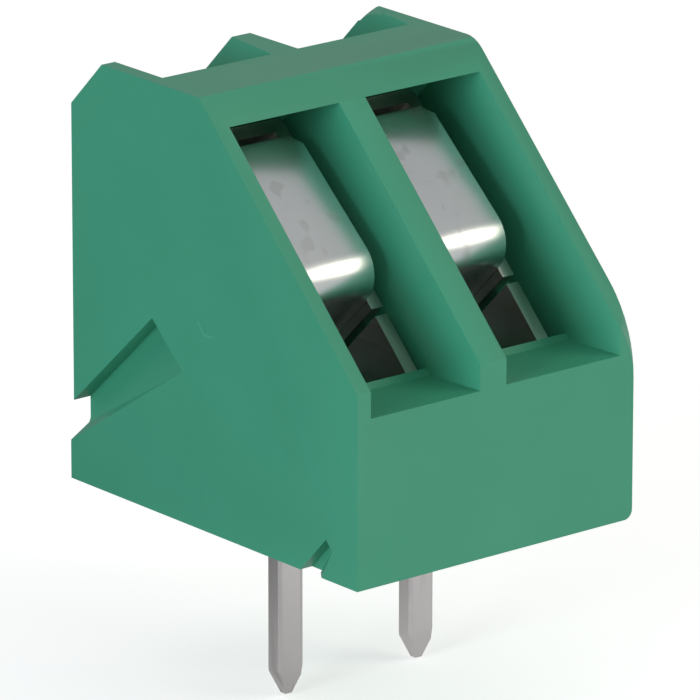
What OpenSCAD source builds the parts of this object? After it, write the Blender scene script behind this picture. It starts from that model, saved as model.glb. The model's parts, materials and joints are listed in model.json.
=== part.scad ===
// Two-pole screw terminal block for a printed circuit board, 5.08 mm pitch.
// Wires enter the slanted front at 45 degrees and the screws are driven from the slanted back edge.
// Frame: X runs along the poles, Y runs from front to back, Z is up.
// The origin lies on the board surface, midway between the two solder pins.

/* [Poles] */
// Distance between the two poles
pitch = 5.08; // [5.04:0.01:5.12]
// Outer left face to the left pole
margin_left = 2.6; // [2.58:0.01:2.7]
// Right pole to the outer right face
margin_right = 2.93; // [2.85:0.01:3]

/* [Housing] */
// Board surface to the top of the housing
height = 13.32; // [13.2:0.01:13.4]
// Board surface to the upper end of the vertical front edge of each wall
front_height = 6; // [5.9:0.01:6.1]
// Solder pin line to the front face
front_reach = 6.5; // [6.45:0.01:6.6]
// Solder pin line to the upper back face
back_reach = 6.94; // [6.85:0.01:7.1]
// How far the foot of the back face stands out
foot_step = 0.16; // [0.05:0.01:0.2]
// Height of that foot where it reaches its full width
foot_height = 1.25; // [1.1:0.05:1.4]
// Height over which the foot tapers into the back face
foot_taper = 0.5; // [0.2:0.05:0.6]
// Chamfer where the top meets the back of each wall
peak_chamfer = 1.5; // [1.3:0.05:1.6]
// Depth of the flat top strip, front to back
strip_depth = 2.34; // [2.2:0.01:2.4]
// Height of the sill below the wire entries
sill_height = 5.19; // [5.1:0.01:5.25]
// How far the sill falls towards the clamp
sill_fall = 0.07; // [0:0.01:0.1]
// Left end wall beside the wire entry
wall_left = 0.5; // [0.45:0.01:0.55]
// Wall between the two wire entries
wall_mid = 1; // [0.9:0.01:1.05]
// Right end wall beside the wire entry
wall_right = 0.53; // [0.5:0.01:0.6]
// Face of the beam above each wire entry, measured down the slant
lip_face = 1.15; // [1:0.01:1.2]
// Thickness of that beam
lip_thick = 0.95; // [0.8:0.01:1]
// Depth of the narrow gap beside each clamp frame, below the slanted face
side_gap_depth = 3.4; // [3:0.1:3.6]
// How far the right side of each driver well leans out, from the top strip to the wall's peak
well_flare = 0.3; // [0.2:0.01:0.32]
// Radius that rounds the outer corner of the right wall's knee
knee_radius = 4.5; // [3.5:0.1:5]
// Radius of the right wall's lower outer edge
foot_radius = 0.3; // [0.2:0.05:0.4]

/* [Side interlock] */
// Depth of the long pocket in the left face
pocket_depth = 0.63; // [0.3:0.01:0.7]
// Depth of the short pocket in the left face
notch_depth = 0.45; // [0.3:0.01:0.5]
// Gap all round between a tongue and the pocket that it enters
tongue_gap = 0.08; // [0.05:0.01:0.15]

/* [Clamp frame] */
// Outer width of the folded frame
frame_width = 3.5; // [3.44:0.01:3.52]
// Thickness of the frame's sheet
frame_sheet = 0.44; // [0.4:0.01:0.46]
// Front to back length of the frame along the wire
frame_length = 3.96; // [3.8:0.01:4]
// Depth of the frame's front edges below the slanted face
frame_front = 2.3; // [2.28:0.01:2.35]
// Top of the threaded plate below the top front edge, measured down the slant
frame_top = 0.13; // [0.12:0.01:0.2]
// Outer height of the frame
frame_height = 9.76; // [9.7:0.01:9.8]
// Length of the drawn and threaded collar under the plate
collar_length = 1; // [0.8:0.05:1.2]
// Gap of the butt seam in the right side of the frame
seam_gap = 0.25; // [0.15:0.01:0.3]
// Seam position, measured down the slant
seam_at = 6.97; // [6.9:0.01:7.1]

/* [Clamp screw] */
// Nominal thread diameter
screw_d = 2; // [1.8:0.05:2.05]
// Diameter of the slotted head
head_d = 3.7; // [3.4:0.05:3.8]
// Thickness of the head
head_thick = 0.75; // [0.7:0.01:0.8]
// Radial play of the shank in the collar
thread_play = 0.04; // [0.03:0.01:0.06]
// Width of the driver slot
slot_width = 0.5; // [0.4:0.05:0.6]
// Depth of the driver slot
slot_depth = 0.4; // [0.3:0.05:0.45]
// Travel of the clamp from rest to either end
travel = 1.2; // [1:0.05:1.2]

/* [Wire guard] */
// Width of the leaf
leaf_width = 2.5; // [2.4:0.01:2.52]
// Thickness of the leaf
leaf_thick = 0.35; // [0.3:0.01:0.38]
// Foremost point of the leaf, where it starts to bend, below the slanted face
leaf_front = 1.09; // [1.05:0.01:1.15]
// Lean of the leaf, which lies deeper towards its top edge, in degrees
leaf_lean = 4.3; // [3.5:0.1:4.5]
// Top edge of the leaf, measured down the slant
leaf_top = 1.18; // [1.15:0.01:1.3]
// Underside of the tongue, measured down the slant
tongue_under = 6.55; // [6.5:0.01:6.6]
// Outer radius of the bend
leaf_bend = 1.05; // [0.9:0.05:1.1]
// Chamfer of the two upper corners
leaf_corner = 0.35; // [0.3:0.01:0.4]

/* [Current bar] */
// Width of the bar under the wire
bar_width = 2.4; // [2.2:0.05:2.5]
// Thickness of the bar's strip
bar_thick = 0.65; // [0.6:0.01:0.7]
// Width of the solder pin
pin_width = 1; // [0.9:0.01:1.1]
// Reach of the solder pin below the board surface
pin_length = 5.5; // [3.5:0.1:5.5]
// Length of the pin's taper
pin_taper = 0.85; // [0.6:0.05:1]

/* [Hidden] */
$fn = 48;
eps = 0.01;
over = 1;
fit_gap = 0.04;
half_root = sqrt(0.5);
pole_left = -pitch / 2;
pole_right = pitch / 2;
side_left = pole_left - margin_left;
side_right = pole_right + margin_right;
cell_left = [side_left + wall_left, -wall_mid / 2];
cell_right = [wall_mid / 2, side_right - wall_right];
edge_y = height - front_height - front_reach;
axis_depth = frame_front + frame_length / 2;
frame_bottom = frame_top + frame_height;
floor_at = frame_bottom - frame_sheet;
pocket_half = frame_width / 2 + fit_gap;
pocket_front = frame_front - fit_gap;
pocket_back = frame_front + frame_length + fit_gap;
head_rest = 1.15;
tip_gap = 0.02;
tongue_top = tongue_under - leaf_thick;
bar_top = floor_at - bar_thick;
bar_start = frame_front + 1;
sill_at = 9.37;
well_r = 1.97;
bay_front = -2.1;
bay_back = 3.2;
long_wedge = [[7.4, 2.09], [3.09, 6.03], [1.67, 4.7], [7.4, 1.02]];
short_wedge = [[-3.39, -0.5], [-5.06, 1.23], [-5.34, 0.93], [-4.59, -0.5]];
wedge_flat_peak = 0.3;
long_flat_tail = 0.62;
short_flat_tail = 0.5;
tongue_root = 0.4;
well_reach = 9;
well_rise = 5;
seat_overlap = 0.2;
bay_overlap = 0.5;
guard_clearance = 0.2;
guard_back_gap = 0.25;
lean_reach = (tongue_under - leaf_bend - leaf_top) * tan(leaf_lean);
side_gap_low = 9.1;
roll_width = 0.23;
roll_depth = 0.16;
knee_tilt = 32;
crown_radius = 1.2;
peak_radius = 2;
peak_tilt = 27;
well_inset = 0.1;
frame_top_radius = 0.3;
frame_low_radius = 0.55;
inner_top_radius = 0.1;
inner_low_radius = 0.2;
collar_wall_gap = 0.03;
bar_bend_radius = 0.4;
bar_front_bevel = 0.4;
bar_bevel_drop = 0.3;
bar_foot = 0.8;
pin_top = 0.9;
pin_tip = 0.12;
pin_edge = 0.1;
ridge = 0.2;
ridge_depths = [4.4, 4.9, 5.4];
nose_start = 5;
nose_angle = 20;
nose_length = 0.95;
screw_tip_bevel = 0.25;
head_bevel = 0.12;
housing_color = [0.31, 0.62, 0.52];
metal_color = [0.78, 0.79, 0.8];

// World position of a point s down the slant and d deep below the slanted face.
function at(s, d) = [edge_y + (d - s) * half_root, height - (s + d) * half_root];

// Working frame of a pole: X across, Y into the slanted face, Z up along the screw.
module at_pole(x) {
    translate([x, edge_y, height])
        rotate([-45, 0, 0])
            children();
}

// Solid between two X positions whose outline is drawn in the YZ plane.
module along_x(x0, x1) {
    translate([x0, 0, 0])
        rotate([90, 0, 90])
            linear_extrude(x1 - x0)
                children();
}

// Solid of a pole's working frame whose outline is drawn in its YZ plane, centred across the pole.
module strip_of(width) {
    rotate([90, 0, 90])
        linear_extrude(width, center = true)
            children();
}

// Rectangle with its lower left corner at p and rounded corners: r_top above, r_low below.
module soft_rect(p, size, r_top, r_low) {
    translate(p) {
        translate([0, r_low])
            square([size[0], size[1] - r_low - r_top]);
        translate([r_low, 0])
            square([size[0] - 2 * r_low, r_low + eps]);
        translate([r_top, size[1] - r_top - eps])
            square([size[0] - 2 * r_top, r_top + eps]);
        for (x = [r_low, size[0] - r_low])
            translate([x, r_low])
                circle(r_low);
        for (x = [r_top, size[0] - r_top])
            translate([x, size[1] - r_top])
                circle(r_top);
    }
}

// ---- Housing ----

function wall_outline() = [
    [-front_reach, 0],
    [-front_reach, front_height],
    [edge_y, height],
    [back_reach - peak_chamfer, height],
    [back_reach, height - peak_chamfer],
    [back_reach, foot_height + foot_taper],
    [back_reach + foot_step, foot_height],
    [back_reach + foot_step, 0]
];

// Wire entry of one cell, from the beam's lower edge down to the sill.
// Behind the beam it rises into a slot that takes the top of the wire guard.
module wire_entry(cell) {
    lip_rise = lip_thick / 2;
    slot_top = leaf_top - travel - guard_clearance;
    slot_back = leaf_front + lean_reach + leaf_thick + guard_back_gap;
    seat_top = frame_top - fit_gap;
    sill_back_y = at(sill_at, pocket_front)[0];
    along_x(cell[0], cell[1])
        polygon([
            at(lip_face, 0),
            at(lip_face - lip_rise, lip_thick),
            at(slot_top, lip_thick),
            at(slot_top, slot_back),
            at(seat_top, slot_back),
            at(seat_top, side_gap_depth),
            at(side_gap_low, side_gap_depth),
            at(side_gap_low, pocket_front),
            [sill_back_y, sill_height - sill_fall],
            [-front_reach, sill_height],
            [-front_reach - over, sill_height],
            [-front_reach - over, front_height + over],
            at(lip_face, -over)
        ]);
}

// Seat of one clamp frame, with the round well of the screw head above it.
module clamp_seat(x) {
    seat_top = -frame_top + fit_gap;
    seat_low = -frame_bottom - fit_gap;
    at_pole(x) {
        strip_of(2 * pocket_half)
            polygon([
                [pocket_front - seat_overlap, seat_top],
                [pocket_back, seat_top],
                [pocket_back, seat_low],
                [pocket_front, seat_low],
                [pocket_front, -sill_at + bay_overlap],
                [pocket_front - seat_overlap, -sill_at + bay_overlap]
            ]);
        translate([0, axis_depth, seat_top - bay_overlap])
            cylinder(h = well_reach, r = well_r);
    }
}

// Space between two walls behind the top strip, square to the screws. Its right side leans out.
module well_mouth(cell) {
    well_top = strip_depth * half_root;
    peak_rise = (back_reach - peak_chamfer - edge_y) * half_root - well_top;
    lean = well_flare * well_rise / peak_rise;
    at_pole(0)
        translate([0, well_top + well_reach, 0])
            rotate([90, 0, 0])
                linear_extrude(well_reach)
                    polygon([
                        [cell[0], well_top],
                        [cell[1], well_top],
                        [cell[1] + lean, well_top + well_rise],
                        [cell[0], well_top + well_rise]
                    ]);
}

// Bay that is open to the board, where the metal parts go in and the solder pin comes out.
module underside_bay(x) {
    roof_s = pocket_back - (bay_back - edge_y) / half_root;
    inner_s = frame_bottom - bay_overlap;
    inner_d = inner_s + (bay_front - edge_y) / half_root;
    along_x(x - pocket_half, x + pocket_half)
        polygon([
            [bay_front, -over],
            [bay_back, -over],
            at(roof_s, pocket_back),
            at(roof_s, pocket_back - bay_overlap),
            at(inner_s, inner_d)
        ]);
}

// Wedge with one steep side and a ramped floor that fades out into a face at X = 0.
// It runs out to -X by the length out and in to +X by its depth. The corners in the YZ plane
// are the tail and peak of the steep side, then the peak and tail of the line where the ramp
// ends. The floor stays flat over the given share of the way at the peak and at the tail.
module wedge(corners, depth, out, flat_peak, flat_tail) {
    deep = [
        corners[0],
        corners[1],
        corners[1] + flat_peak * (corners[2] - corners[1]),
        corners[0] + flat_tail * (corners[3] - corners[0])
    ];
    polyhedron(
        points = concat(
            [for (c = corners) [-out, c[0], c[1]]],
            [for (c = corners) [0, c[0], c[1]]],
            [for (c = deep) [depth, c[0], c[1]]]
        ),
        faces = [
            [3, 2, 1, 0],
            [0, 1, 5, 4], [1, 2, 6, 5], [2, 3, 7, 6], [3, 0, 4, 7],
            [4, 5, 9, 8], [5, 6, 10, 9], [7, 4, 8, 11],
            [6, 7, 11], [6, 11, 10],
            [8, 9, 10, 11]
        ]
    );
}

// Corners moved towards their middle by a gap.
function drawn_in(corners, gap) =
    let (middle = (corners[0] + corners[1] + corners[2] + corners[3]) / 4)
    [for (c = corners) c + gap * (middle - c) / norm(middle - c)];

// Pockets in the left face that the neighbouring block's tongues enter.
module side_pockets() {
    translate([side_left, 0, 0]) {
        wedge(long_wedge, pocket_depth, over, wedge_flat_peak, long_flat_tail);
        wedge(short_wedge, notch_depth, over, wedge_flat_peak, short_flat_tail);
    }
}

// Tongues on the right face, a loose fit in a neighbour's pockets.
module side_tongues() {
    intersection() {
        translate([side_right, 0, 0]) {
            wedge(drawn_in(long_wedge, tongue_gap), pocket_depth - tongue_gap, tongue_root,
                wedge_flat_peak, long_flat_tail);
            wedge(drawn_in(short_wedge, tongue_gap), notch_depth - tongue_gap, tongue_root,
                wedge_flat_peak, short_flat_tail);
        }
        along_x(side_right - over, side_right + over)
            polygon(wall_outline());
    }
}

// Cutter that rounds the corner at the origin where two edges of a wall meet at 135 degrees.
// Z runs halfway between the edges and Y into the wall. The cut is deepest on the side at +X
// and runs out towards -X, at a pace that the tilt of its cylinder sets.
module corner_round(r, tilt) {
    slope = tan(22.5);
    stretch = 1 / cos(tilt);
    centre = r * sqrt(stretch * stretch + slope * slope);
    span = slope * centre / (slope * slope + stretch * stretch);
    difference() {
        translate([-over, -over, -span])
            cube([2 * over, over + span, 2 * span]);
        translate([0, centre, 0])
            rotate([0, 90, tilt])
                cylinder(h = 8 * over, r = r, center = true);
    }
}

// Outer corners of the right wall: at the knee, at the top and along its lower edge.
module right_corners() {
    translate([side_right, -front_reach, front_height])
        rotate([-22.5, 0, 0])
            corner_round(knee_radius, knee_tilt);
    translate([side_right, edge_y, height])
        rotate([-67.5, 0, 0])
            corner_round(crown_radius, knee_tilt);
    translate([side_right - wall_right + well_flare, back_reach - peak_chamfer, height])
        rotate([-112.5, 0, 0])
            mirror([1, 0, 0])
                corner_round(peak_radius, peak_tilt);
    translate([side_right - foot_radius, back_reach + over, foot_radius])
        rotate([90, 0, 0])
            linear_extrude(back_reach + front_reach + 2 * over)
                difference() {
                    translate([0, -foot_radius - over])
                        square(foot_radius + over);
                    circle(foot_radius);
                }
}

module housing() {
    color(housing_color) {
        difference() {
            along_x(side_left, side_right)
                polygon(wall_outline());
            wire_entry(cell_left);
            wire_entry(cell_right);
            well_mouth(cell_left);
            well_mouth([cell_right[0], cell_right[1] - well_inset]);
            clamp_seat(pole_left);
            clamp_seat(pole_right);
            underside_bay(pole_left);
            underside_bay(pole_right);
            side_pockets();
            right_corners();
        }
        side_tongues();
    }
}

// ---- Clamp frame ----

module clamp_frame(x) {
    inner = frame_width - 2 * frame_sheet;
    color(metal_color)
        at_pole(x)
            difference() {
                union() {
                    translate([0, frame_front + frame_length, 0])
                        rotate([90, 0, 0])
                            linear_extrude(frame_length)
                                difference() {
                                    soft_rect([-frame_width / 2, -frame_bottom],
                                        [frame_width, frame_height], frame_top_radius, frame_low_radius);
                                    soft_rect([-inner / 2, -floor_at],
                                        [inner, floor_at - frame_top - frame_sheet],
                                        inner_top_radius, inner_low_radius);
                                }
                    translate([0, axis_depth, -frame_top - frame_sheet - collar_length])
                        cylinder(h = collar_length + frame_sheet / 2, r = inner / 2 - collar_wall_gap);
                }
                translate([0, axis_depth, -frame_top - frame_sheet - collar_length - over])
                    cylinder(h = collar_length + frame_sheet + 2 * over, r = screw_d / 2 + thread_play);
                translate([inner / 2 - eps, frame_front - over, -seam_at - seam_gap / 2])
                    cube([over, frame_length + 2 * over, seam_gap]);
            }
}

module clamp_frame_left() { clamp_frame(pole_left); }
module clamp_frame_right() { clamp_frame(pole_right); }

// ---- Current bar ----

// Side outline of the strip: up the frame floor, round a 45 degree bend and down into the pin.
module bar_outline(low) {
    r_in = bar_bend_radius;
    half = bar_thick / 2;
    slope_low = at(floor_at, 0)[0] + at(floor_at, 0)[1];
    bend = [-half - r_in, slope_low + half + r_in - 2 * half_root * r_in];
    start_low = at(floor_at, bar_start);
    start_top = at(bar_top, bar_start);
    polygon([
        start_low,
        bend + r_in * [half_root, half_root],
        bend + (r_in + bar_thick) * [half_root, half_root],
        at(bar_top, bar_start + bar_front_bevel),
        at(bar_top + bar_bevel_drop, bar_start)
    ]);
    translate(bend)
        intersection() {
            difference() {
                circle(r_in + bar_thick);
                circle(r_in);
            }
            polygon([[0, 0], [3, -0.03], [3, 3.03]]);
        }
    translate([-half, low])
        square([bar_thick, bend[1] - low]);
}

module solder_pin() {
    half_w = pin_width / 2;
    half_t = bar_thick / 2;
    intersection() {
        rotate([90, 0, 0])
            linear_extrude(2, center = true)
                polygon([
                    [-half_w, pin_top],
                    [-half_w, -pin_length + pin_taper],
                    [-pin_tip, -pin_length],
                    [pin_tip, -pin_length],
                    [half_w, -pin_length + pin_taper],
                    [half_w, pin_top]
                ]);
        along_x(-1, 1)
            polygon([
                [-half_t, pin_top],
                [-half_t, -pin_length + pin_taper],
                [-pin_tip, -pin_length],
                [pin_tip, -pin_length],
                [half_t, -pin_length + pin_taper],
                [half_t, pin_top]
            ]);
        translate([0, 0, -pin_length])
            linear_extrude(pin_length + pin_top)
                polygon([
                    [-half_w + pin_edge, -half_t], [half_w - roll_width, -half_t],
                    [half_w, -half_t + roll_depth], [half_w, half_t - pin_edge],
                    [half_w - pin_edge, half_t], [-half_w + pin_edge, half_t],
                    [-half_w, half_t - pin_edge], [-half_w, -half_t + pin_edge]
                ]);
    }
}

module current_bar(x) {
    color(metal_color) {
        translate([x, 0, 0]) {
            along_x(-pin_width / 2, pin_width / 2)
                bar_outline(bar_foot);
            solder_pin();
            intersection() {
                along_x(-bar_width / 2, bar_width / 2)
                    bar_outline(bar_foot);
                translate([0, edge_y, height])
                    rotate([-45, 0, 0])
                        translate([-2, bar_start - 1, -12])
                            cube([4, frame_length + 0.6, 6]);
            }
        }
        at_pole(x)
            for (d = ridge_depths)
                strip_of(bar_width)
                    polygon([
                        [d - ridge, -bar_top - eps],
                        [d + ridge, -bar_top - eps],
                        [d, -bar_top + ridge]
                    ]);
    }
}

module current_bar_left() { current_bar(pole_left); }
module current_bar_right() { current_bar(pole_right); }

// ---- Wire guard ----

module wire_guard(x) {
    r_in = leaf_bend - leaf_thick;
    bend = [leaf_front + leaf_bend, -tongue_under + leaf_bend];
    leaf_length = (-leaf_top - bend[1] - leaf_bend * sin(leaf_lean)) / cos(leaf_lean);
    color(metal_color)
        at_pole(x)
            difference() {
                strip_of(leaf_width) {
                    translate(bend)
                        rotate(-leaf_lean)
                            translate([-leaf_bend, -eps])
                                square([leaf_thick, leaf_length + eps]);
                    translate(bend)
                        intersection() {
                            difference() {
                                circle(leaf_bend);
                                circle(r_in);
                            }
                            polygon([[0, 0], [-2, 2 * tan(leaf_lean)], [-2, -2], [0, -2]]);
                        }
                    translate([bend[0] - eps, -tongue_under])
                        square([nose_start - bend[0] + 2 * eps, leaf_thick]);
                    translate([nose_start, -tongue_top])
                        rotate(-nose_angle)
                            translate([0, -leaf_thick])
                                square([nose_length, leaf_thick]);
                    translate([nose_start, -tongue_top])
                        intersection() {
                            circle(leaf_thick);
                            rotate(-90 - nose_angle)
                                square([leaf_thick, leaf_thick]);
                        }
                }
                for (side = [-1, 1])
                    translate([side * leaf_width / 2, leaf_front, -leaf_top])
                        rotate([0, 45, 0])
                            cube([leaf_corner * sqrt(2), 2, leaf_corner * sqrt(2)], center = true);
            }
}

module wire_guard_left() { wire_guard(pole_left); }
module wire_guard_right() { wire_guard(pole_right); }

// ---- Clamp screw ----

module clamp_screw(x) {
    r = screw_d / 2;
    head_r = head_d / 2;
    tip_at = -tongue_top + tip_gap;
    color(metal_color)
        at_pole(x)
            translate([0, axis_depth, 0])
                difference() {
                    rotate_extrude()
                        polygon([
                            [0, tip_at],
                            [r - screw_tip_bevel, tip_at],
                            [r, tip_at + screw_tip_bevel],
                            [r, head_rest],
                            [head_r - head_bevel, head_rest],
                            [head_r, head_rest + head_bevel],
                            [head_r, head_rest + head_thick - head_bevel],
                            [head_r - head_bevel, head_rest + head_thick],
                            [0, head_rest + head_thick]
                        ]);
                    translate([-2.5, -slot_width / 2, head_rest + head_thick - slot_depth])
                        cube([5, slot_width, 1]);
                }
}

module clamp_screw_left() { clamp_screw(pole_left); }
module clamp_screw_right() { clamp_screw(pole_right); }

housing();
clamp_frame_left();
clamp_frame_right();
current_bar_left();
current_bar_right();
wire_guard_left();
wire_guard_right();
clamp_screw_left();
clamp_screw_right();
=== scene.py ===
# Angled screw terminal for a circuit board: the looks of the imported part.
import json
import math

import bpy
import bmesh
from mathutils import Matrix, Vector

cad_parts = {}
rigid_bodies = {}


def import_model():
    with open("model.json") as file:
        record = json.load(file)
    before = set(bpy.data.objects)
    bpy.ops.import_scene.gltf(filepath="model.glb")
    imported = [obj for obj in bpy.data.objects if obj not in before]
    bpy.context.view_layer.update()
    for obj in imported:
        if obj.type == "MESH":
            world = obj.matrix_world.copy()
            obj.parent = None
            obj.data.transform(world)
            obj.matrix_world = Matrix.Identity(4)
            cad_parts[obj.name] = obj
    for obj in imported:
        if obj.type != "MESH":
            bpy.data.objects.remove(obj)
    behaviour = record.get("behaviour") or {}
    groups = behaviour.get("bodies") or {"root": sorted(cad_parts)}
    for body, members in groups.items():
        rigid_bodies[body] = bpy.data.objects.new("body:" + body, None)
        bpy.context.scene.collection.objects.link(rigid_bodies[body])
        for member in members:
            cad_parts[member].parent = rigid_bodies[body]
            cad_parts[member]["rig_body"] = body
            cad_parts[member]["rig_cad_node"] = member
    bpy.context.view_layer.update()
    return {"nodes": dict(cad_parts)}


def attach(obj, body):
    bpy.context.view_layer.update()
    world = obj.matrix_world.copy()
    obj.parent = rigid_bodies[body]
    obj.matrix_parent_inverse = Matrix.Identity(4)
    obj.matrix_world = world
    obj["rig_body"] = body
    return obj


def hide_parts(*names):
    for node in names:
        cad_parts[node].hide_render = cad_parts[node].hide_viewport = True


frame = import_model()
print("frame loaded")

# The slanted front edge and the two poles, as the part has them
slant = {
    "edgeY": 0.00082,
    "height": 0.01332,
    "screwDepth": 0.00428,
    "tilt": -45,
    "poles": {"left": -0.00254, "right": 0.00254},
}

# How meshes are cleaned and shaded; angles in degrees
meshCare = {
    "mergeDistance": 1e-6,
    "flatAngle": 0.6,
    "sharpAngle": 28,
    "smoothAngle": 32,
}


# Small helpers


def deselectAll():
    if bpy.context.object and bpy.context.object.mode != "OBJECT":
        bpy.ops.object.mode_set(mode="OBJECT")
    bpy.ops.object.select_all(action="DESELECT")


def makeActive(piece):
    deselectAll()
    piece.select_set(True)
    bpy.context.view_layer.objects.active = piece


def copyNode(nodeName, pieceName):
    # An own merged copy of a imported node, ready for bevels
    node = frame["nodes"][nodeName]
    makeActive(node)
    bpy.ops.object.duplicate()
    piece = bpy.context.active_object
    piece.name = pieceName
    piece.data.name = pieceName
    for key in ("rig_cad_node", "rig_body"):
        if key in piece:
            del piece[key]
    piece.parent = None
    piece.matrix_world = Matrix.Identity(4)
    if piece.data.has_custom_normals:
        bpy.ops.mesh.customdata_custom_splitnormals_clear()
    bpy.ops.object.mode_set(mode="EDIT")
    bpy.ops.mesh.select_all(action="SELECT")
    bpy.ops.mesh.remove_doubles(threshold=meshCare["mergeDistance"])
    bpy.ops.mesh.dissolve_limited(angle_limit=math.radians(meshCare["flatAngle"]))
    bpy.ops.object.mode_set(mode="OBJECT")
    return piece


def bevelSharpEdges(piece, width, segments, shortest, angle=meshCare["sharpAngle"]):
    # Rounds the edges that are sharper than the angle and at least as long as the shortest
    makeActive(piece)
    bpy.ops.object.mode_set(mode="EDIT")
    bpy.ops.mesh.select_mode(type="EDGE")
    bpy.ops.mesh.select_all(action="DESELECT")
    shape = bmesh.from_edit_mesh(piece.data)
    for edge in shape.edges:
        if len(edge.link_faces) != 2 or edge.calc_length() < shortest:
            continue
        if edge.calc_face_angle(0) > math.radians(angle):
            edge.select_set(True)
    bmesh.update_edit_mesh(piece.data)
    bpy.ops.mesh.bevel(
        offset=width, segments=segments, profile=0.5, affect="EDGES", clamp_overlap=True)
    # The new faces along the edges stay selected; the narrow ones among them get the edge mask, which
    # carries wear and a painted highlight colour
    shape = bmesh.from_edit_mesh(piece.data)
    wearAndSheen = shape.faces.layers.float.new("sheenAndWearBand")
    for face in shape.faces:
        narrow = face.calc_area() < width * 0.5 * face.calc_perimeter()
        face[wearAndSheen] = 1.0 if face.select and narrow else 0.0
    bmesh.update_edit_mesh(piece.data)
    bpy.ops.object.mode_set(mode="OBJECT")
    bpy.ops.object.shade_smooth_by_angle(angle=math.radians(meshCare["smoothAngle"]))


def settle(piece, material, body, nodes):
    piece.data.materials.clear()
    piece.data.materials.append(material)
    for polygon in piece.data.polygons:
        polygon.material_index = 0
    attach(piece, body)
    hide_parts(*nodes)


# Camera, light and floor

cameraLook = {
    "position": (-0.1484987, -0.1803079, 0.0785896),
    "azimuth": -39.46,
    "elevation": 17.54,
    "roll": 0.07,
    "lens": 422.5,
    "sensorWidth": 36,
    "nearest": 0.01,
    "farthest": 10,
}

cameraData = bpy.data.cameras.new("camera")
cameraData.lens = cameraLook["lens"]
cameraData.sensor_width = cameraLook["sensorWidth"]
cameraData.clip_start = cameraLook["nearest"]
cameraData.clip_end = cameraLook["farthest"]
camera = bpy.data.objects.new("camera", cameraData)
bpy.context.scene.collection.objects.link(camera)
turn = math.radians(cameraLook["azimuth"])
rise = math.radians(cameraLook["elevation"])
back = Vector((math.sin(turn) * math.cos(rise), -math.cos(turn) * math.cos(rise), math.sin(rise)))
right = Vector((math.cos(turn), math.sin(turn), 0))
up = back.cross(right)
roll = math.radians(cameraLook["roll"])
rolledRight = right * math.cos(roll) + up * math.sin(roll)
rolledUp = up * math.cos(roll) - right * math.sin(roll)
facing = Matrix((rolledRight, rolledUp, back)).transposed().to_4x4()
camera.matrix_world = Matrix.Translation(Vector(cameraLook["position"])) @ facing
bpy.context.scene.camera = camera
bpy.context.scene.view_settings.view_transform = "Standard"

studio = {
    "floorHeight": -0.0056,
    "floorSize": 3.0,
    "floorSides": 96,
    "floorColor": (0.93, 0.93, 0.93, 1),
    "floorRoughness": 0.9,
    "floorShine": 0.5,
    "seenLight": 1.02,
    "horizonLight": 0.52,
    "zenithLight": 0.55,
    "horizonEnds": 0.15,
    "zenithBegins": 0.8,
    "lightAim": (0, 0, 0.006),
    "keyPower": 0.5,
    "keyPlace": (-0.30, -0.075, 0.050),
    "keySize": 0.16,
    "keyColor": (0.92, 1.0, 1.1),
    "softboxPower": 0.3,
    "softboxPlace": (0.205, -0.245, 0.150),
    "softboxSize": 0.22,
    "softboxColor": (1.0, 0.93, 0.76),
    "floorGlow": (0.12, 0.62),
    "glowFrom": -0.02,
    "glowTo": 0.012,
    "glowDirection": (0.63, -0.77, 0),
}


def softLight(name, place, size, power, color):
    data = bpy.data.lights.new(name, "AREA")
    data.shape = "DISK"
    data.size = size
    data.energy = power
    data.color = color
    lamp = bpy.data.objects.new(name, data)
    bpy.context.scene.collection.objects.link(lamp)
    lamp.location = place
    lamp.rotation_mode = "QUATERNION"
    lamp.rotation_quaternion = (Vector(place) - Vector(studio["lightAim"])).to_track_quat("Z", "Y")


for lampName in ("key", "softbox"):
    softLight(
        lampName + "Light", studio[lampName + "Place"], studio[lampName + "Size"],
        studio[lampName + "Power"], studio[lampName + "Color"])

# Surroundings that look white but light the part more softly
world = bpy.data.worlds.new("paleStudio")
world.use_nodes = True
bpy.context.scene.world = world
worldNodes = world.node_tree.nodes
worldLinks = world.node_tree.links
worldNodes.clear()
skyPlace = worldNodes.new("ShaderNodeTexCoord")
skyParts = worldNodes.new("ShaderNodeSeparateXYZ")
skyRamp = worldNodes.new("ShaderNodeMapRange")
skyRamp.interpolation_type = "SMOOTHSTEP"
skyRamp.inputs["From Min"].default_value = studio["horizonEnds"]
skyRamp.inputs["From Max"].default_value = studio["zenithBegins"]
skyRamp.inputs["To Min"].default_value = studio["horizonLight"]
skyRamp.inputs["To Max"].default_value = studio["zenithLight"]
skyShade = worldNodes.new("ShaderNodeBackground")
seenShade = worldNodes.new("ShaderNodeBackground")
seenShade.inputs["Strength"].default_value = studio["seenLight"]
skyRays = worldNodes.new("ShaderNodeLightPath")
skyMix = worldNodes.new("ShaderNodeMixShader")
skyOut = worldNodes.new("ShaderNodeOutputWorld")
worldLinks.new(skyPlace.outputs["Generated"], skyParts.inputs["Vector"])
worldLinks.new(skyParts.outputs["Z"], skyRamp.inputs["Value"])
worldLinks.new(skyRamp.outputs["Result"], skyShade.inputs["Strength"])
worldLinks.new(skyRays.outputs["Is Camera Ray"], skyMix.inputs["Fac"])
worldLinks.new(skyShade.outputs["Background"], skyMix.inputs[1])
worldLinks.new(seenShade.outputs["Background"], skyMix.inputs[2])
worldLinks.new(skyMix.outputs["Shader"], skyOut.inputs["Surface"])

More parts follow.
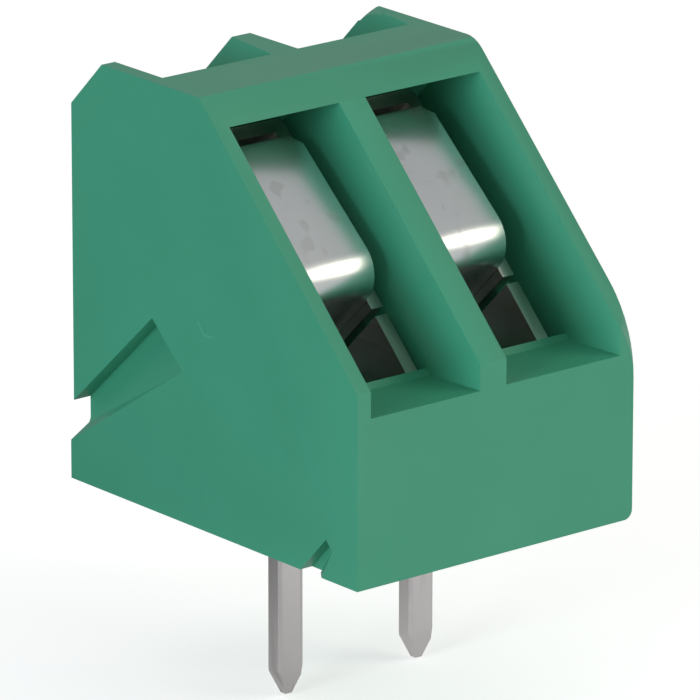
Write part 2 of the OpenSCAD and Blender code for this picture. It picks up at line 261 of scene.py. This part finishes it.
deselectAll()
bpy.ops.mesh.primitive_circle_add(
    vertices=studio["floorSides"], radius=studio["floorSize"], fill_type="NGON",
    location=(0, 0, studio["floorHeight"]))
floor = bpy.context.active_object
floor.name = "floor"
floorPaint = bpy.data.materials.new("palePaper")
floorPaint.use_nodes = True
floorShade = floorPaint.node_tree.nodes["Principled BSDF"]
floorShade.inputs["Base Color"].default_value = studio["floorColor"]
floorShade.inputs["Roughness"].default_value = studio["floorRoughness"]
floorShade.inputs["Emission Color"].default_value = (1, 1, 1, 1)
floorShade.inputs["Emission Strength"].default_value = studio["floorShine"]
# The part gets less light from the floor than the floor shows, least from behind on the left
floorTree = floorPaint.node_tree
floorPlace = floorTree.nodes.new("ShaderNodeTexCoord")
floorSide = floorTree.nodes.new("ShaderNodeVectorMath")
floorSide.operation = "DOT_PRODUCT"
floorSide.inputs[1].default_value = studio["glowDirection"]
floorRamp = floorTree.nodes.new("ShaderNodeMapRange")
floorRamp.interpolation_type = "SMOOTHSTEP"
floorRamp.inputs["From Min"].default_value = studio["glowFrom"]
floorRamp.inputs["From Max"].default_value = studio["glowTo"]
floorRamp.inputs["To Min"].default_value = studio["floorGlow"][0]
floorRamp.inputs["To Max"].default_value = studio["floorGlow"][1]
floorGlow = floorTree.nodes.new("ShaderNodeEmission")
floorRays = floorTree.nodes.new("ShaderNodeLightPath")
floorMix = floorTree.nodes.new("ShaderNodeMixShader")
floorOut = floorTree.nodes["Material Output"]
floorTree.links.new(floorPlace.outputs["Object"], floorSide.inputs[0])
floorTree.links.new(floorSide.outputs["Value"], floorRamp.inputs["Value"])
floorTree.links.new(floorRamp.outputs["Result"], floorGlow.inputs["Strength"])
floorTree.links.new(floorRays.outputs["Is Camera Ray"], floorMix.inputs["Fac"])
floorTree.links.new(floorGlow.outputs["Emission"], floorMix.inputs[1])
floorTree.links.new(floorShade.outputs["BSDF"], floorMix.inputs[2])
floorTree.links.new(floorMix.outputs["Shader"], floorOut.inputs["Surface"])
floor.data.materials.append(floorPaint)
print("camera and studio ready")

# Effects that several materials share


def newGroup(name, inputs, outputs):
    group = bpy.data.node_groups.new(name, "ShaderNodeTree")
    for label, kind, value in inputs:
        socket = group.interface.new_socket(name=label, in_out="INPUT", socket_type=kind)
        if value is not None:
            socket.default_value = value
    for label, kind in outputs:
        group.interface.new_socket(name=label, in_out="OUTPUT", socket_type=kind)
    start = group.nodes.new("NodeGroupInput")
    end = group.nodes.new("NodeGroupOutput")
    return group, start, end


def mathNode(tree, operation, first, second, clamp=False):
    node = tree.nodes.new("ShaderNodeMath")
    node.operation = operation
    node.use_clamp = clamp
    for index, value in enumerate((first, second)):
        if isinstance(value, (int, float)):
            node.inputs[index].default_value = value
        else:
            tree.links.new(value, node.inputs[index])
    return node.outputs[0]


def makeMottle():
    # Slow change between two colours, with a finer one on top
    group, start, end = newGroup(
        "softMottle",
        [("Place", "NodeSocketVector", None), ("First", "NodeSocketColor", (1, 1, 1, 1)),
         ("Second", "NodeSocketColor", (0.8, 0.8, 0.8, 1)), ("Scale", "NodeSocketFloat", 300.0)],
        [("Color", "NodeSocketColor"), ("Value", "NodeSocketFloat")])
    noise = group.nodes.new("ShaderNodeTexNoise")
    noise.inputs["Detail"].default_value = 4
    noise.inputs["Roughness"].default_value = 0.6
    group.links.new(start.outputs["Place"], noise.inputs["Vector"])
    group.links.new(start.outputs["Scale"], noise.inputs["Scale"])
    mix = group.nodes.new("ShaderNodeMix")
    mix.data_type = "RGBA"
    group.links.new(noise.outputs["Fac"], mix.inputs["Factor"])
    group.links.new(start.outputs["First"], mix.inputs[6])
    group.links.new(start.outputs["Second"], mix.inputs[7])
    group.links.new(mix.outputs[2], end.inputs["Color"])
    group.links.new(noise.outputs["Fac"], end.inputs["Value"])
    return group


def makeGrain():
    # Even fine grain of a moulded or rolled surface
    group, start, end = newGroup(
        "fineGrain",
        [("Place", "NodeSocketVector", None), ("Scale", "NodeSocketFloat", 8000.0),
         ("Height", "NodeSocketFloat", 1.0)],
        [("Height", "NodeSocketFloat")])
    noise = group.nodes.new("ShaderNodeTexNoise")
    noise.inputs["Detail"].default_value = 3
    group.links.new(start.outputs["Place"], noise.inputs["Vector"])
    group.links.new(start.outputs["Scale"], noise.inputs["Scale"])
    height = mathNode(group, "MULTIPLY", noise.outputs["Fac"], start.outputs["Height"])
    group.links.new(height, end.inputs["Height"])
    return group


def makeScratches():
    # Hairline scratches along the stretched direction of the place vector, and a few specks
    group, start, end = newGroup(
        "hairlines",
        [("Place", "NodeSocketVector", None), ("Scale", "NodeSocketFloat", 900.0),
         ("Amount", "NodeSocketFloat", 0.5)],
        [("Lines", "NodeSocketFloat"), ("Specks", "NodeSocketFloat")])
    noise = group.nodes.new("ShaderNodeTexNoise")
    noise.inputs["Detail"].default_value = 1
    group.links.new(start.outputs["Place"], noise.inputs["Vector"])
    group.links.new(start.outputs["Scale"], noise.inputs["Scale"])
    peaks = mathNode(group, "SUBTRACT", noise.outputs["Fac"], 0.62)
    thin = mathNode(group, "MULTIPLY", peaks, 14.0, clamp=True)
    group.links.new(mathNode(group, "MULTIPLY", thin, start.outputs["Amount"]), end.inputs["Lines"])
    cells = group.nodes.new("ShaderNodeTexVoronoi")
    group.links.new(start.outputs["Place"], cells.inputs["Vector"])
    group.links.new(start.outputs["Scale"], cells.inputs["Scale"])
    spread = mathNode(group, "MULTIPLY", cells.outputs["Distance"], 7.0)
    speck = mathNode(group, "SUBTRACT", 1.0, spread, clamp=True)
    group.links.new(mathNode(group, "MULTIPLY", speck, start.outputs["Amount"]), end.inputs["Specks"])
    return group


softMottle = makeMottle()
fineGrain = makeGrain()
hairlines = makeScratches()


def useGroup(tree, group, **values):
    node = tree.nodes.new("ShaderNodeGroup")
    node.node_tree = group
    for label, value in values.items():
        node.inputs[label].default_value = value
    return node


def blendColors(tree, factor, first, second):
    mix = tree.nodes.new("ShaderNodeMix")
    mix.data_type = "RGBA"
    for socket, value in ((mix.inputs[0], factor), (mix.inputs[6], first), (mix.inputs[7], second)):
        if isinstance(value, (int, float, tuple)):
            socket.default_value = value
        else:
            tree.links.new(value, socket)
    return mix.outputs[2]


def remap(tree, value, low, high):
    node = tree.nodes.new("ShaderNodeMapRange")
    node.inputs["To Min"].default_value = low
    node.inputs["To Max"].default_value = high
    tree.links.new(value, node.inputs["Value"])
    return node.outputs["Result"]


# Green moulded plastic

plasticLook = {
    "color": (0.048, 0.330, 0.196, 1),
    "paler": (0.062, 0.372, 0.228, 1),
    # The edge colour below is a painted highlight along the rounded edges
    "edgeHighlightColor": (0.16, 0.52, 0.38, 1),
    "edgeAmount": 0.75,
    "edgeScale": 1400.0,
    "roughness": (0.36, 0.46),
    "refraction": 1.5,
    "mottleScale": 260.0,
    "grainScale": 5200.0,
    "grainHeight": 0.35,
    "bumpStrength": 0.12,
    "bumpDistance": 0.00002,
    "leftFace": -0.00512,
}

# Lines on the outer left face, from and to (Y, Z) in millimetres
faceMarks = {
    "sink": [
        ((1.67, 4.70), (-0.94, 5.31)),
        ((0.81, 4.78), (0.84, 0.13)),
        ((-0.89, 5.27), (-3.91, 2.80)),
        ((3.29, 11.77), (1.94, 10.35)),
    ],
    "sinkWidth": 0.00016,
    "sinkDepth": 1.4,
    "sinkColor": (0.05, 0.33, 0.21, 1),
    "sinkShare": 0.22,
    "nick": [
        ((0.90, 6.43), (0.62, 6.10)),
        ((0.62, 6.10), (0.24, 6.12)),
    ],
    "nickWidth": 0.00005,
    "nickColor": (0.12, 0.5, 0.34, 1),
    "nickShare": 0.5,
}


def makeMarkLine():
    # 1 on a straight line between two points of the YZ plane, 0 away from it
    group, start, end = newGroup(
        "markLine",
        [("Place", "NodeSocketVector", None), ("Start", "NodeSocketVector", (0, 0, 0)),
         ("End", "NodeSocketVector", (0, 0, 0)), ("Width", "NodeSocketFloat", 0.0001)],
        [("Mask", "NodeSocketFloat")])

    def vector(operation, first, second):
        node = group.nodes.new("ShaderNodeVectorMath")
        node.operation = operation
        group.links.new(first, node.inputs[0])
        group.links.new(second, node.inputs[1])
        return node

    run = vector("SUBTRACT", start.outputs["End"], start.outputs["Start"]).outputs["Vector"]
    away = vector("SUBTRACT", start.outputs["Place"], start.outputs["Start"]).outputs["Vector"]
    along = vector("DOT_PRODUCT", away, run).outputs["Value"]
    length = vector("DOT_PRODUCT", run, run).outputs["Value"]
    share = mathNode(group, "DIVIDE", along, length, clamp=True)
    nearest = group.nodes.new("ShaderNodeVectorMath")
    nearest.operation = "SCALE"
    group.links.new(run, nearest.inputs[0])
    group.links.new(share, nearest.inputs["Scale"])
    gap = vector("DISTANCE", away, nearest.outputs["Vector"]).outputs["Value"]
    falloff = mathNode(group, "DIVIDE", gap, start.outputs["Width"], clamp=True)
    group.links.new(mathNode(group, "SUBTRACT", 1.0, falloff), end.inputs["Mask"])
    return group


markLine = makeMarkLine()


def makeWearAndHighlightEdge():
    # How much edge colour a spot gets, wear together with painted highlight or shade: full on the faces
    # along the edges, broken up by a noise
    group, start, end = newGroup(
        "wearAndHighlightEdge",
        [("Place", "NodeSocketVector", None), ("Scale", "NodeSocketFloat", 900.0),
         ("Amount", "NodeSocketFloat", 0.6)],
        [("Mask", "NodeSocketFloat")])
    edge = group.nodes.new("ShaderNodeAttribute")
    edge.attribute_name = "sheenAndWearBand"
    noise = group.nodes.new("ShaderNodeTexNoise")
    noise.inputs["Detail"].default_value = 3
    group.links.new(start.outputs["Place"], noise.inputs["Vector"])
    group.links.new(start.outputs["Scale"], noise.inputs["Scale"])
    patches = mathNode(group, "SUBTRACT", noise.outputs["Fac"], 0.3)
    broken = mathNode(group, "MULTIPLY", patches, 3.0, clamp=True)
    spread = mathNode(group, "MULTIPLY", edge.outputs["Fac"], broken)
    group.links.new(mathNode(group, "MULTIPLY", spread, start.outputs["Amount"]), end.inputs["Mask"])
    return group


wearAndHighlightEdge = makeWearAndHighlightEdge()


def makePlastic():
    material = bpy.data.materials.new("greenPlastic")
    material.use_nodes = True
    tree = material.node_tree
    shade = tree.nodes["Principled BSDF"]
    place = tree.nodes.new("ShaderNodeTexCoord").outputs["Object"]
    look = plasticLook
    mottle = useGroup(tree, softMottle, First=look["color"], Second=look["paler"], Scale=look["mottleScale"])
    tree.links.new(place, mottle.inputs["Place"])
    grain = useGroup(tree, fineGrain, Scale=look["grainScale"], Height=look["grainHeight"])
    tree.links.new(place, grain.inputs["Place"])
    # Only the outer left face carries the faint marks
    parts = tree.nodes.new("ShaderNodeSeparateXYZ")
    tree.links.new(place, parts.inputs["Vector"])
    onLeft = mathNode(tree, "LESS_THAN", parts.outputs["X"], look["leftFace"])
    flatPlace = tree.nodes.new("ShaderNodeCombineXYZ")
    tree.links.new(parts.outputs["Y"], flatPlace.inputs["Y"])
    tree.links.new(parts.outputs["Z"], flatPlace.inputs["Z"])

    def lines(points, width):
        total = None
        for begin, stop in points:
            line = useGroup(tree, markLine, Width=width)
            line.inputs["Start"].default_value = (0, begin[0] / 1000, begin[1] / 1000)
            line.inputs["End"].default_value = (0, stop[0] / 1000, stop[1] / 1000)
            tree.links.new(flatPlace.outputs["Vector"], line.inputs["Place"])
            mask = line.outputs["Mask"]
            total = mask if total is None else mathNode(tree, "MAXIMUM", total, mask)
        return mathNode(tree, "MULTIPLY", total, onLeft)

    sink = lines(faceMarks["sink"], faceMarks["sinkWidth"])
    nick = lines(faceMarks["nick"], faceMarks["nickWidth"])
    sinkShade = mathNode(tree, "MULTIPLY", sink, faceMarks["sinkShare"])
    nickShade = mathNode(tree, "MULTIPLY", nick, faceMarks["nickShare"])
    color = blendColors(tree, sinkShade, mottle.outputs["Color"], faceMarks["sinkColor"])
    color = blendColors(tree, nickShade, color, faceMarks["nickColor"])
    # Lighter edges: a painted highlight laid along the rounded edges, on top of the marks
    wearAndSheen = useGroup(tree, wearAndHighlightEdge, Scale=look["edgeScale"], Amount=look["edgeAmount"])
    tree.links.new(place, wearAndSheen.inputs["Place"])
    color = blendColors(tree, wearAndSheen.outputs["Mask"], color, look["edgeHighlightColor"])
    tree.links.new(color, shade.inputs["Base Color"])
    tree.links.new(remap(tree, mottle.outputs["Value"], *look["roughness"]), shade.inputs["Roughness"])
    bump = tree.nodes.new("ShaderNodeBump")
    bump.inputs["Strength"].default_value = look["bumpStrength"]
    bump.inputs["Distance"].default_value = look["bumpDistance"]
    sunken = mathNode(tree, "MULTIPLY", sink, faceMarks["sinkDepth"])
    height = mathNode(tree, "SUBTRACT", grain.outputs["Height"], sunken)
    tree.links.new(height, bump.inputs["Height"])
    tree.links.new(bump.outputs["Normal"], shade.inputs["Normal"])
    shade.inputs["IOR"].default_value = look["refraction"]
    return material


greenPlastic = makePlastic()

# Plated metals

# Each edge colour goes on the narrow faces along the edges: the lighter ones are painted highlights, the
# bar's darker one is painted shade, partly the wear of sheared sheet edges
metalLooks = {
    "guard": {
        "name": "brightTin",
        "color": (0.70, 0.745, 0.76, 1),
        "paler": (0.82, 0.85, 0.86, 1),
        "edge": (0.95, 0.95, 0.95, 1),
        "roughness": (0.24, 0.34),
        "turn": (45, 0, 0),
        "stretch": (1, 1, 0.05),
        "lines": 0.25,
        "scale": 1500.0,
    },
    "frame": {
        "name": "frameTin",
        "color": (0.5, 0.49, 0.47, 1),
        "paler": (0.62, 0.61, 0.59, 1),
        "edge": (0.9, 0.9, 0.88, 1),
        "roughness": (0.28, 0.42),
        "turn": (45, 0, 0),
        "stretch": (1, 0.08, 1),
        "lines": 0.3,
        "scale": 1800.0,
    },
    "bar": {
        "name": "solderTin",
        "color": (0.70, 0.68, 0.67, 1),
        "paler": (0.84, 0.82, 0.81, 1),
        "edge": (0.6, 0.58, 0.57, 1),
        "roughness": (0.26, 0.38),
        "turn": (0, 0, 0),
        "stretch": (1, 1, 0.06),
        "lines": 0.4,
        "scale": 1600.0,
    },
    "screw": {
        "name": "zincPlate",
        "color": (0.58, 0.58, 0.56, 1),
        "paler": (0.66, 0.66, 0.64, 1),
        "edge": (0.8, 0.8, 0.78, 1),
        "roughness": (0.24, 0.34),
        "turn": (45, 0, 0),
        "stretch": (1, 1, 0.3),
        "lines": 0.2,
        "scale": 1500.0,
    },
}

# What the metals have in common
platingLook = {
    "mottleScale": 420.0,
    "grainScale": 9000.0,
    "grainHeight": 0.4,
    "lineColor": (0.36, 0.35, 0.35, 1),
    "lineRoughness": 0.2,
    "edgeScale": 2200.0,
    "edgeAmount": 0.8,
    "bumpStrength": 0.15,
    "bumpDistance": 0.00001,
}


def makeMetal(look):
    # Rolled or turned metal with its scratches along one direction
    material = bpy.data.materials.new(look["name"])
    material.use_nodes = True
    tree = material.node_tree
    shade = tree.nodes["Principled BSDF"]
    place = tree.nodes.new("ShaderNodeTexCoord").outputs["Object"]
    mapping = tree.nodes.new("ShaderNodeMapping")
    mapping.inputs["Rotation"].default_value = [math.radians(value) for value in look["turn"]]
    mapping.inputs["Scale"].default_value = look["stretch"]
    tree.links.new(place, mapping.inputs["Vector"])
    plating = platingLook
    mottle = useGroup(
        tree, softMottle, First=look["color"], Second=look["paler"], Scale=plating["mottleScale"])
    tree.links.new(place, mottle.inputs["Place"])
    rolled = useGroup(tree, fineGrain, Scale=plating["grainScale"], Height=plating["grainHeight"])
    tree.links.new(mapping.outputs["Vector"], rolled.inputs["Place"])
    marks = useGroup(tree, hairlines, Scale=look["scale"], Amount=look["lines"])
    tree.links.new(mapping.outputs["Vector"], marks.inputs["Place"])
    color = blendColors(tree, marks.outputs["Lines"], mottle.outputs["Color"], plating["lineColor"])
    # Edge colour on the narrow faces along the edges: painted highlight where lighter, painted shade where
    # darker, partly sheared-edge wear
    wearAndSheen = useGroup(tree, wearAndHighlightEdge, Scale=plating["edgeScale"], Amount=plating["edgeAmount"])
    tree.links.new(place, wearAndSheen.inputs["Place"])
    color = blendColors(tree, wearAndSheen.outputs["Mask"], color, look["edge"])
    tree.links.new(color, shade.inputs["Base Color"])
    smooth = remap(tree, mottle.outputs["Value"], *look["roughness"])
    dulled = mathNode(tree, "MULTIPLY", marks.outputs["Lines"], plating["lineRoughness"])
    rough = mathNode(tree, "ADD", smooth, dulled)
    tree.links.new(rough, shade.inputs["Roughness"])
    bump = tree.nodes.new("ShaderNodeBump")
    bump.inputs["Strength"].default_value = plating["bumpStrength"]
    bump.inputs["Distance"].default_value = plating["bumpDistance"]
    cuts = mathNode(tree, "ADD", marks.outputs["Lines"], marks.outputs["Specks"])
    height = mathNode(tree, "SUBTRACT", rolled.outputs["Height"], cuts)
    tree.links.new(height, bump.inputs["Height"])
    tree.links.new(bump.outputs["Normal"], shade.inputs["Normal"])
    shade.inputs["Metallic"].default_value = 1
    return material


metals = {name: makeMetal(look) for name, look in metalLooks.items()}
print("materials ready")

# Housing

housingLook = {"rounding": 0.00009, "segments": 3, "shortestEdge": 0.00025}

housing = copyNode("housing", "terminalHousing")
bevelSharpEdges(housing, housingLook["rounding"], housingLook["segments"], housingLook["shortestEdge"])
settle(housing, greenPlastic, "block", ["housing"])
print("housing ready", len(housing.data.polygons))

# Sheet metal of each pole

sheetLook = {
    "frameRounding": 0.0001,
    "frameSegments": 2,
    "barRounding": 0.00003,
    "barSegments": 2,
    "guardRounding": 0.00004,
    "guardSegments": 3,
    "shortestEdge": 0.0001,
}


def makeSheetPiece(nodeName, pieceName, kind, body):
    piece = copyNode(nodeName, pieceName)
    bevelSharpEdges(
        piece, sheetLook[kind + "Rounding"], sheetLook[kind + "Segments"], sheetLook["shortestEdge"])
    settle(piece, metals[kind], body, [nodeName])


for side in slant["poles"]:
    makeSheetPiece("clamp_frame_" + side, "clampSleeve_" + side, "frame", "block")
    makeSheetPiece("current_bar_" + side, "barAndPin_" + side, "bar", "block")
    makeSheetPiece("wire_guard_" + side, "guardLeaf_" + side, "guard", "guard_" + side)
print("sheet metal ready")

# Clamp screws

screwLook = {
    "headRadius": 0.00185,
    "headThickness": 0.00075,
    "headRest": 0.00115,
    "headRounding": 0.00012,
    "headSides": 72,
    "slotLength": 0.005,
    "slotWidth": 0.0005,
    "slotDepth": 0.0004,
    "threadCrest": 0.00098,
    "threadRoot": 0.00077,
    "threadPitch": 0.0004,
    "threadSteps": 40,
    "tip": -0.00618,
    "pointLength": 0.0005,
    "pointRadius": 0.00072,
    "pointRounding": 0.00012,
    "pointSides": 48,
    "overlap": 0.0001,
    "sharpAngle": 50,
    "smoothAngle": 30,
}


def makeThread():
    # One pitch of the outline, drawn vertex by vertex and wound up the shank, then cut at both ends
    look = screwLook
    pitch = look["threadPitch"]
    base = look["tip"] + look["pointLength"] - pitch
    deselectAll()
    bpy.ops.mesh.primitive_plane_add(size=0.001, location=(0, 0, 0))
    thread = bpy.context.active_object
    bpy.ops.object.mode_set(mode="EDIT")
    bpy.ops.mesh.select_mode(type="VERT")
    bpy.ops.mesh.select_all(action="DESELECT")
    shape = bmesh.from_edit_mesh(thread.data)
    shape.verts.ensure_lookup_table()
    for vertex in shape.verts[1:]:
        vertex.select_set(True)
    bmesh.update_edit_mesh(thread.data)
    bpy.ops.mesh.delete(type="VERT")
    shape = bmesh.from_edit_mesh(thread.data)
    shape.verts.ensure_lookup_table()
    first = shape.verts[0]
    first.co = (look["threadRoot"], 0, base)
    first.select_set(True)
    bmesh.update_edit_mesh(thread.data)
    deep = look["threadCrest"] - look["threadRoot"]
    for step in ((0, 0.12), (deep, 0.36), (0, 0.16), (-deep, 0.36)):
        bpy.ops.mesh.extrude_vertices_move(TRANSFORM_OT_translate={"value": (step[0], 0, step[1] * pitch)})
    bpy.ops.object.mode_set(mode="OBJECT")
    winding = thread.modifiers.new("winding", "SCREW")
    winding.axis = "Z"
    winding.angle = math.radians(360)
    winding.screw_offset = pitch
    winding.iterations = int((look["headRest"] - base) / pitch) + 3
    winding.steps = look["threadSteps"]
    winding.render_steps = look["threadSteps"]
    bpy.ops.object.modifier_apply(modifier=winding.name)
    bpy.ops.object.mode_set(mode="EDIT")
    bpy.ops.mesh.select_all(action="SELECT")
    bpy.ops.mesh.remove_doubles(threshold=2e-6)
    bpy.ops.mesh.normals_make_consistent(inside=False)
    threadStart = (0, 0, look["tip"] + look["pointLength"])
    threadEnd = (0, 0, look["headRest"] + look["overlap"])
    bpy.ops.mesh.bisect(plane_co=threadStart, plane_no=(0, 0, 1), use_fill=True, clear_inner=True)
    bpy.ops.mesh.select_all(action="SELECT")
    bpy.ops.mesh.bisect(plane_co=threadEnd, plane_no=(0, 0, 1), use_fill=True, clear_outer=True)
    bpy.ops.mesh.select_all(action="SELECT")
    bpy.ops.mesh.normals_make_consistent(inside=False)
    bpy.ops.object.mode_set(mode="OBJECT")
    return thread


def makeHead():
    look = screwLook
    deselectAll()
    middle = look["headRest"] + look["headThickness"] / 2
    bpy.ops.mesh.primitive_cylinder_add(
        vertices=look["headSides"], radius=look["headRadius"], depth=look["headThickness"],
        location=(0, 0, middle))
    head = bpy.context.active_object
    bpy.ops.object.transform_apply(location=True, rotation=True, scale=True)
    deselectAll()
    top = look["headRest"] + look["headThickness"]
    slotSize = (look["slotLength"], look["slotWidth"], look["slotDepth"] * 2)
    bpy.ops.mesh.primitive_cube_add(size=1, location=(0, 0, top), scale=slotSize)
    cutter = bpy.context.active_object
    bpy.ops.object.transform_apply(location=True, rotation=True, scale=True)
    bevelSharpEdges(head, look["headRounding"], 3, 0.00005, angle=look["sharpAngle"])
    slotCut = head.modifiers.new("slot", "BOOLEAN")
    slotCut.operation = "DIFFERENCE"
    slotCut.object = cutter
    slotCut.solver = "EXACT"
    makeActive(head)
    bpy.ops.object.modifier_apply(modifier=slotCut.name)
    bpy.data.objects.remove(cutter)
    return head


def makePoint():
    look = screwLook
    deselectAll()
    length = look["pointLength"] + look["overlap"]
    bpy.ops.mesh.primitive_cylinder_add(
        vertices=look["pointSides"], radius=look["pointRadius"], depth=length,
        location=(0, 0, look["tip"] + length / 2))
    point = bpy.context.active_object
    bpy.ops.object.transform_apply(location=True, rotation=True, scale=True)
    bevelSharpEdges(point, look["pointRounding"], 3, 0.00002, angle=look["sharpAngle"])
    return point


def makeScrew():
    parts = [makeThread(), makeHead(), makePoint()]
    deselectAll()
    for part in parts:
        part.select_set(True)
    bpy.context.view_layer.objects.active = parts[0]
    bpy.ops.object.join()
    screw = bpy.context.active_object
    bpy.ops.object.shade_smooth_by_angle(angle=math.radians(screwLook["smoothAngle"]))
    return screw


for side, across in slant["poles"].items():
    screw = makeScrew()
    screw.name = "slottedScrew_" + side
    screw.data.name = screw.name
    # The axis stands square to the slanted face, screwDepth below it
    edge = Matrix.Translation((across, slant["edgeY"], slant["height"]))
    lean = Matrix.Rotation(math.radians(slant["tilt"]), 4, "X")
    screw.matrix_world = edge @ lean @ Matrix.Translation((0, slant["screwDepth"], 0))
    makeActive(screw)
    bpy.ops.object.transform_apply(location=True, rotation=True, scale=True)
    settle(screw, metals["screw"], "screw_" + side, ["clamp_screw_" + side])
print("screws ready")
